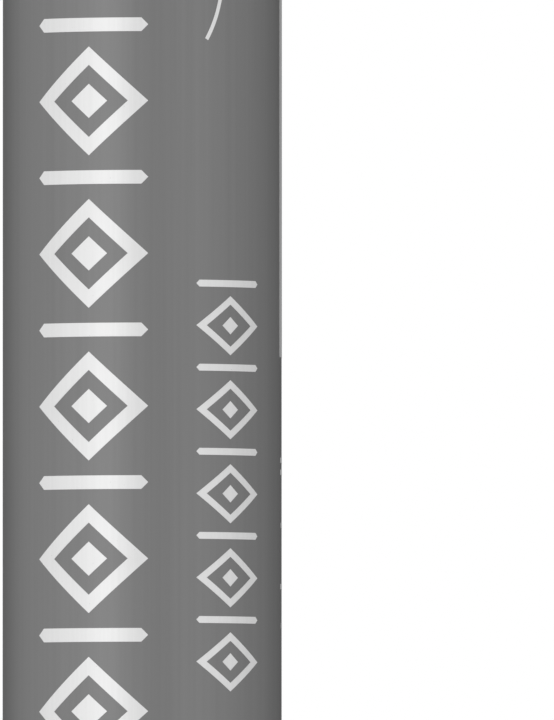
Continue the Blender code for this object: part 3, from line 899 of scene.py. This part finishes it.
sharpenerLook = {
    "radius": 2.8,
    "bead": 2.87,
    "beadHeight": 2.2,  # below the button
    "beadHalf": 0.3,
    "stud": 2.1,
    "hole": 1.3,
    "holeEnd": 0.15,
    "mouth": 1.0,
    "cone": 4.6,
    "bite": 0.2,  # how deep the blade's plane cuts into the hole
    "windowRoom": 0.4,
    "stakeRadius": 0.4,
    "stakeSide": 1.3,
    "stakeStand": 0.45,
    "stakeFoot": -0.3,
    "stakeSides": 48,
}
bladeLook = {
    "thickness": 0.3, "width": 2.2, "ground": 0.3, "pastMiddle": 0.15, "front": 0.6, "lift": 0.06,
    "bevel": 0.025, "hole": 0.5, "holeSides": 64,
}


def bladeSeat(coneFront):
    # the blade's plane slants like the cone and cuts a little into it
    look = sharpenerLook
    slant = math.atan2(look["hole"] - look["holeEnd"], look["cone"])
    place = Matrix.Translation(Vector((look["hole"] - look["bite"], 0, coneFront)) * mm)
    return place @ Matrix.Rotation(-slant, 4, "Y"), look["cone"] / math.cos(slant)


def placed(piece, matrix):
    piece.data.transform(matrix)
    return piece


def makeSharpener():
    look = sharpenerLook
    front, studRear = nodeEnds("sharpener_body")
    button = nodeEnds("end_button")[0] - room
    bead = button + room - look["beadHeight"]
    coneFront = front + look["mouth"]
    corners = [
        (look["stud"], studRear, 0.12),
        (look["stud"], button, 0.05),
        (look["radius"], button, 0.12),
        (look["radius"], bead + look["beadHalf"], 0.05),
        (look["bead"], bead, 0.12),
        (look["radius"], bead - look["beadHalf"], 0.05),
        (look["radius"], front, 0.25),
        (look["hole"], front, 0.12),
        (look["hole"], coneFront, 0.05),
        (look["holeEnd"], coneFront + look["cone"], 0),
    ]
    seatAt, run = bladeSeat(coneFront)
    reach = look["radius"] + spare
    low = (0, -reach, -look["mouth"] - 2 * spare)
    window = addBlock("window", low, (reach, reach, run + look["windowRoom"]))
    body = carve(turnPiece("sharpenerBody", corners), placed(window, seatAt))
    middle = Vector((0, look["stakeSide"], (run - bladeLook["front"]) / 2)) * mm
    stakeAt = seatAt @ Matrix.Translation(middle) @ Matrix.Rotation(math.pi / 2, 4, "Y")
    thick = look["stakeRadius"]
    stake = [(thick, look["stakeStand"], 0.08), (thick, look["stakeFoot"], 0)]
    stake = turnPiece("stake", stake, sides=look["stakeSides"])
    body = carve(body, placed(stake, stakeAt), "UNION")
    seat(body, "sharpener", blackPlastic, "sharpener_body")
    makeBlade(seatAt, run, stakeAt)


def makeBlade(seatAt, run, stakeAt):
    look = bladeLook
    inner, outer = look["lift"], look["lift"] + look["thickness"]
    section = [
        (inner, -look["pastMiddle"]),
        (inner, look["width"]),
        (outer, look["width"]),
        (outer, look["ground"]),
    ]
    bm = bmesh.new()
    ends = [[bm.verts.new(Vector((x, y, z)) * mm) for x, y in section] for z in (-look["front"], run)]
    for k in range(4):
        bm.faces.new((ends[0][k], ends[0][(k + 1) % 4], ends[1][(k + 1) % 4], ends[1][k]))
    bm.faces.new(ends[0])
    bm.faces.new(ends[1])
    bmesh.ops.recalc_face_normals(bm, faces=bm.faces)
    cutting = {ends[0][0], ends[1][0]}
    blunt = [edge for edge in bm.edges if set(edge.verts) != cutting]
    bevelEdges(bm, blunt, look["bevel"], edgeSteps["blade"])
    through = [(look["hole"], spare, 0), (look["hole"], -spare, 0)]
    hole = placed(turnPiece("stakeHole", through, sides=look["holeSides"]), stakeAt)
    blade = carve(placed(addMesh("sharpenerBlade", bm), seatAt), hole)
    seat(blade, "sharpener", groundSteel, "sharpener_blade")


makeKnobCore()
makeSharpener()
print("knob core and sharpener made")

# inner pieces, which nothing shows while the pencil is whole

innerSides = 144  # a multiple of the thread's steps, which lie between these
nutLength = 4.0
leadTravel = 22.0  # eight turns of the screw

guideLook = {"outer": 3.6, "bore": 2.7, "boreRound": 0.03, "outerRound": 0.15, "slotHalf": 0.6}


def makeGuide():
    look = guideLook
    rear = nodeEnds("guide_tube")[1]
    slotFront = nodeEnds("carrier_nut")[1] - nutLength - leadTravel
    reach, half = look["outer"] + spare, look["slotHalf"]
    cut = addBlock("slots", (-reach, -half, slotFront), (reach, half, rear + spare))
    tube = carve(tubePiece("guideTube", "guide_tube", look, innerSides), cut)
    seat(tube, "barrel", palePlastic, "guide_tube")


bushLook = {"outer": 3.6, "bore": 2.7, "boreRound": 0.03, "outerRound": 0.15}


def makeBush():
    bush = tubePiece("rearBush", "rear_bush", bushLook, innerSides)
    seat(bush, "barrel", palePlastic, "rear_bush")


clipLook = {"outer": 3.15, "bore": 2.15, "boreRound": 0.06, "outerRound": 0.06, "gapHalf": 1.4}


def makeClip():
    look = clipLook
    front, rear = nodeEnds("retaining_clip")
    reach, half = look["outer"] + spare, look["gapHalf"]
    gap = addBlock("gap", (0, -half, front - spare), (reach, half, rear + spare))
    clip = carve(tubePiece("retainingClip", "retaining_clip", look, innerSides), gap)
    seat(clip, "knob", groundSteel, "retaining_clip")


ringLook = {"radius": 2.32, "wire": 0.32, "steps": 28}


def makeRing():
    look = ringLook
    middle = sum(nodeEnds("friction_ring")) / 2
    turns = [math.tau * k / look["steps"] for k in range(look["steps"])]
    wire, radius = look["wire"], look["radius"]
    corners = [(radius + wire * math.cos(a), middle + wire * math.sin(a), 0) for a in turns]
    ring = turnPiece("frictionRing", corners, True, innerSides)
    seat(ring, "knob", blackRubber, "friction_ring")


rodLook = {"radius": 1.5, "collar": 2.3, "collarLength": 1.0, "pin": 0.8}


def makeRod():
    look = rodLook
    front, rear = nodeEnds("push_rod")
    collarRear = nodeEnds("carrier_nut")[0] - room
    pinRear = nodeEnds("lead_cup")[1] + room
    corners = [
        (look["radius"], rear, 0.12),
        (look["radius"], collarRear, 0.04),
        (look["collar"], collarRear, 0.1),
        (look["collar"], collarRear - look["collarLength"], 0.1),
        (look["radius"], collarRear - look["collarLength"], 0.08),
        (look["radius"], pinRear, 0.08),
        (look["pin"], pinRear, 0.04),
        (look["pin"], front, 0.1),
    ]
    rod = turnPiece("pushRod", corners, sides=innerSides)
    seat(rod, "carrier", palePlastic, "push_rod")


cupLook = {
    "radius": 1.75, "socket": 1.2, "socketDepth": 6.0, "pinBore": 0.9, "pinDepth": 1.4,
    "slitHalf": 0.15, "slitLength": 4.5,
}


def makeCup():
    look = cupLook
    front, rear = nodeEnds("lead_cup")
    corners = [
        (look["pinBore"], rear - look["pinDepth"], 0.04),
        (look["pinBore"], rear, 0.05),
        (look["radius"], rear, 0.15),
        (look["radius"], front, 0.15),
        (look["socket"], front, 0.05),
        (look["socket"], front + look["socketDepth"], 0.05),
    ]
    cup = turnPiece("leadCup", corners, sides=innerSides)
    reach, half = look["radius"] + spare, look["slitHalf"]
    for wide, deep in ((reach, half), (half, reach)):
        high = (wide, deep, front + look["slitLength"])
        cup = carve(cup, addBlock("slit", (-wide, -deep, front - spare), high))
    seat(cup, "carrier", palePlastic, "lead_cup")


def makeThreadTree():
    # winds one trapezoid ridge round a bar: a grid of steps along the ridge by 5 corners across it
    radii = ("Root Radius", "Crest Radius", "Root Width", "Crest Width")
    sizes = treeFloats("Hand", "Start Height", "Start Angle", "Pitch", *radii)
    inputs = {"Geometry": "Geometry", "Turns": 1, "Steps per Turn": 72, **sizes, "Finish": "Material"}
    tree, given, made = newGroup("threadBar", "GeometryNodeTree", inputs, {"Geometry": "Geometry"})

    def calc(operation, first, second=0.0):
        return addMath(tree, operation, first, second)

    turn = given["Steps per Turn"]
    steps = calc("MULTIPLY", given["Turns"], turn)
    inputs = {"Size X": steps, "Size Y": 4, "Vertices X": calc("ADD", steps, 1), "Vertices Y": 5}
    grid = addNode(tree, "GeometryNodeMeshGrid", inputs)[0]
    parts = splitVector(tree, addNode(tree, "GeometryNodeInputPosition", {})[0])
    along = calc("ADD", parts["X"], calc("DIVIDE", steps, 2))
    across = calc("ADD", parts["Y"], 2)

    # corners 1 and 2 are the crest, 0 and 3 the root, and 4 meets the next turn's 0
    middle = calc("SUBTRACT", across, 1.5)
    crest = calc("LESS_THAN", calc("ABSOLUTE", middle), 1)
    wrap = calc("GREATER_THAN", across, 3.5)
    deeper = calc("MULTIPLY", crest, calc("SUBTRACT", given["Crest Radius"], given["Root Radius"]))
    radius = calc("ADD", given["Root Radius"], deeper)
    slimmer = calc("MULTIPLY", crest, calc("SUBTRACT", given["Crest Width"], given["Root Width"]))
    half = calc("DIVIDE", calc("ADD", given["Root Width"], slimmer), 2)
    height = calc("MULTIPLY", calc("SIGN", middle), half)
    gap = calc("SUBTRACT", given["Pitch"], given["Root Width"])
    height = calc("ADD", height, calc("MULTIPLY", wrap, gap))

    # each open end is drawn in to one point on the axis
    start = calc("LESS_THAN", along, 0.5)
    startTurn = calc("LESS_THAN", calc("SUBTRACT", along, turn), 0.5)
    start = calc("MAXIMUM", start, calc("MULTIPLY", calc("LESS_THAN", across, 0.5), startTurn))
    left = calc("SUBTRACT", steps, along)
    end = calc("LESS_THAN", left, 0.5)
    endTurn = calc("LESS_THAN", calc("SUBTRACT", left, turn), 0.5)
    end = calc("MAXIMUM", end, calc("MULTIPLY", wrap, endTurn))
    body = calc("SUBTRACT", 1, calc("MAXIMUM", start, end))

    share = calc("DIVIDE", along, turn)
    height = calc("MULTIPLY", body, calc("ADD", height, calc("MULTIPLY", share, given["Pitch"])))
    height = calc("ADD", height, calc("MULTIPLY", end, calc("MULTIPLY", given["Turns"], given["Pitch"])))
    angle = calc("MULTIPLY", calc("MULTIPLY", share, math.tau), given["Hand"])
    angle = calc("ADD", angle, given["Start Angle"])
    radius = calc("MULTIPLY", radius, body)
    place = {"X": calc("MULTIPLY", radius, calc("COSINE", angle))}
    place["Y"] = calc("MULTIPLY", radius, calc("SINE", angle))
    place["Z"] = calc("ADD", height, given["Start Height"])
    wound = joinVector(tree, place)
    moved = addNode(tree, "GeometryNodeSetPosition", {"Geometry": grid, "Position": wound})[0]
    leftHand = calc("LESS_THAN", given["Hand"], 0)
    outward = addNode(tree, "GeometryNodeFlipFaces", {"Mesh": moved, "Selection": leftHand})[0]
    return endTree(tree, given, made, outward, 10 * weld)


threadLook = {
    "pitch": 2.75,
    "hand": -1,  # left-hand
    "root": 0.95,
    "crest": 1.35,
    "rootWidth": 1.3,
    "crestWidth": 0.7,
    "steps": 72,
    "startAngle": 1.25,  # a quarter step, so that no corner lies on another piece's corner
    "fit": 0.2,  # the nut's thread is this much larger all round
    "spareTurns": 2,  # past each end of what it is cut to
}
threadTree = makeThreadTree()


def threadBar(name, start, turns, fit):
    look = threadLook
    twist = look["hand"] * look["startAngle"] / 360
    values = {
        "Turns": turns,
        "Steps per Turn": look["steps"],
        "Hand": float(look["hand"]),
        "Start Height": (start + twist * look["pitch"]) * mm,
        "Start Angle": math.radians(look["startAngle"]),
        "Pitch": look["pitch"] * mm,
        "Root Radius": (look["root"] + fit) * mm,
        "Crest Radius": (look["crest"] + fit) * mm,
        "Root Width": (look["rootWidth"] + 2 * fit) * mm,
        "Crest Width": (look["crestWidth"] + 2 * fit) * mm,
        "Finish": palePlastic,
    }
    return runTree(addMesh(name + "Grid", bmesh.new()), name, threadTree, values)


screwLook = {"leadIn": 0.08, "collar": 1.9, "collarLength": 0.6, "headHalf": 1.0, "join": 0.3, "edge": 0.08}


def makeScrew():
    look = screwLook
    front, headRear = nodeEnds("screw_spindle")
    collarRear = nodeEnds("knob_core")[0] - room
    collarFront = collarRear - look["collarLength"]
    pitch, extra = threadLook["pitch"], threadLook["spareTurns"]
    start = front - extra * pitch
    turns = math.ceil((collarRear - start) / pitch) + extra
    point = threadLook["root"] - look["leadIn"]
    wide = threadLook["crest"] + spare
    trim = [
        (wide, collarFront + look["join"], 0),
        (wide, front + wide - point, 0),
        (point, front, 0),
    ]
    screw = threadBar("screwSpindle", start, turns, 0)
    screw = carve(screw, turnPiece("trim", trim, sides=innerSides), "INTERSECT")
    collar = [(look["collar"], collarRear, 0.06), (look["collar"], collarFront, 0.06)]
    screw = carve(screw, turnPiece("collar", collar, sides=innerSides), "UNION")
    half = look["headHalf"]
    low = (-half, -half, collarRear - look["join"])
    head = addBlock("head", low, (half, half, headRear), look["edge"])
    seat(carve(screw, head, "UNION"), "knob", palePlastic, "screw_spindle")


carrierLook = {
    "radius": 2.5, "bore": 1.6, "keyReach": 3.3, "keyHalf": 0.45, "keySetback": 0.3, "keyRoot": 0.3,
    "keyEdge": 0.06,
}


def makeCarrier():
    look = carrierLook
    front, rear = nodeEnds("carrier_nut")
    nutFront = rear - nutLength
    corners = [
        (look["radius"], rear, 0.15),
        (look["radius"], front, 0.15),
        (look["bore"], front, 0.06),
        (look["bore"], nutFront, 0),
    ]
    carrier = turnPiece("carrierNut", corners, sides=innerSides)
    root = look["radius"] - look["keyRoot"]
    for ends in ((-look["keyReach"], -root), (root, look["keyReach"])):
        low = (ends[0], -look["keyHalf"], nutFront + look["keySetback"])
        high = (ends[1], look["keyHalf"], rear - look["keySetback"])
        carrier = carve(carrier, addBlock("key", low, high, look["keyEdge"]), "UNION")
    # the tap starts whole turns from the screw, so that the two threads mesh
    pitch, extra = threadLook["pitch"], threadLook["spareTurns"]
    start = nodeEnds("screw_spindle")[0] - extra * pitch
    start += (math.floor((nutFront - start) / pitch) - extra) * pitch
    tap = threadBar("tap", start, math.ceil(nutLength / pitch) + 2 * extra + 1, threadLook["fit"])
    seat(carve(carrier, tap), "carrier", palePlastic, "carrier_nut")


makeGuide()
makeBush()
makeClip()
makeRing()
makeRod()
makeCup()
makeScrew()
makeCarrier()
print("inner pieces made")

# studio

studio = {
    "worldDiffuse": 0.6,
    "floorRadius": 0.42,
    "floorSides": 96,
    "floorGrey": 0.8,
    "floorSwing": 0.01,
    "floorMottle": (60, 3.0),
    "floorRoughness": 0.9,
    "floorGlow": 0.49,
    "floorHeight": -0.01 * mm,
}

# how bright the studio's walls look in gloss, by azimuth: 0 is behind the camera, 90 to its right
wallLight = {
    -180: 0.0, -150: 0.32, -120: 0.86, -90: 0.94, -60: 1.06, -30: 1.13,
    0: 0.89, 30: 0.8, 60: 0.95, 90: 0.76, 120: 0.65, 150: 0.32,
}
brightest = 4.0  # the ramp's colours stop at 1, so they hold the walls' light divided by this


def addSeen(tree):
    # camera and transmission rays see plain white
    ray = addNode(tree, "ShaderNodeLightPath", {})
    return ray, addMath(tree, "MAXIMUM", ray["Is Camera Ray"], ray["Is Transmission Ray"])


def makeWorld():
    world = bpy.data.worlds.new("studioWorld")
    bpy.context.scene.world = world
    world.use_nodes = True
    world.cycles.sampling_method = "NONE"
    tree = world.node_tree
    background = tree.nodes["Background"].inputs
    feed(background["Color"], grey(1))
    parts = splitVector(tree, addNode(tree, "ShaderNodeTexCoord", {})["Generated"])
    azimuth = addMath(tree, "ARCTAN2", parts["X"], times(tree, parts["Y"], -1.0))
    walls = tree.nodes.new("ShaderNodeValToRGB")
    feed(walls.inputs["Fac"], addRange(tree, azimuth, -math.pi, math.pi, 0.0, 1.0))
    knots = sorted(wallLight.items()) + [(180, wallLight[-180])]
    stops = walls.color_ramp.elements
    for n, (turn, radiance) in enumerate(knots):
        stop = stops[n] if n < 2 else stops.new(1.0)
        stop.position = (turn + 180) / 360
        stop.color = (*grey(radiance / brightest), 1)
    gloss = times(tree, walls.outputs["Color"], brightest)
    ray, seen = addSeen(tree)
    extra = addMath(tree, "SUBTRACT", gloss, studio["worldDiffuse"])
    strength = times(tree, ray["Is Glossy Ray"], extra)
    strength = addMath(tree, "ADD", strength, studio["worldDiffuse"])
    rest = times(tree, strength, addMath(tree, "SUBTRACT", 1.0, seen))
    feed(background["Strength"], addMath(tree, "ADD", rest, seen))


# soft boxes that only the pencil and the floor see: azimuth counts from the camera's side, to the right
softBoxes = {
    "keyBox": {"azimuth": -28, "height": 0.16, "distance": 0.62, "size": (0.2, 0.5), "radiance": 0.45},
    "fillBox": {"azimuth": 38, "height": 0.14, "distance": 0.7, "size": (0.2, 0.5), "radiance": 0.3},
    "backBox": {"azimuth": 180, "height": 0.75, "distance": 0.45, "size": (0.4, 0.4), "radiance": 0.6},
}
boxAim = 0.08


def addSoftBox(name, look):
    lamp = bpy.data.lights.new(name, "AREA")
    lamp.shape = "RECTANGLE"
    lamp.size, lamp.size_y = look["size"]
    lamp.energy = look["radiance"] * math.pi * lamp.size * lamp.size_y
    turn, reach = math.radians(look["azimuth"]), look["distance"]
    holder = addObject(name, lamp)
    aimFrom(holder, (reach * math.sin(turn), -reach * math.cos(turn), look["height"]), (0, 0, boxAim))
    holder.visible_camera = False


def makeFloor():
    bm = bmesh.new()
    sides, radius = studio["floorSides"], studio["floorRadius"]
    bmesh.ops.create_circle(bm, cap_ends=True, segments=sides, radius=radius)
    bmesh.ops.translate(bm, vec=(0, 0, studio["floorHeight"]), verts=bm.verts)
    floor = addMesh("paleFloor", bm)
    base, swing = studio["floorGrey"], studio["floorSwing"]
    sockets = {"Roughness": studio["floorRoughness"], "Emission Color": grey(1)}
    finish, tree, shader, place = newFinish("floorCard", sockets)
    mottle = addNoise(tree, place, *studio["floorMottle"])
    feed(shader["Base Color"], addMix(tree, mottle, grey(base - swing), grey(base + swing)))
    ray, seen = addSeen(tree)
    seen = addMath(tree, "MAXIMUM", seen, ray["Is Glossy Ray"])
    feed(shader["Emission Strength"], times(tree, seen, studio["floorGlow"]))
    floor.data.materials.append(finish)


makeWorld()
makeFloor()
for name, look in softBoxes.items():
    addSoftBox(name, look)
print("studio lit")
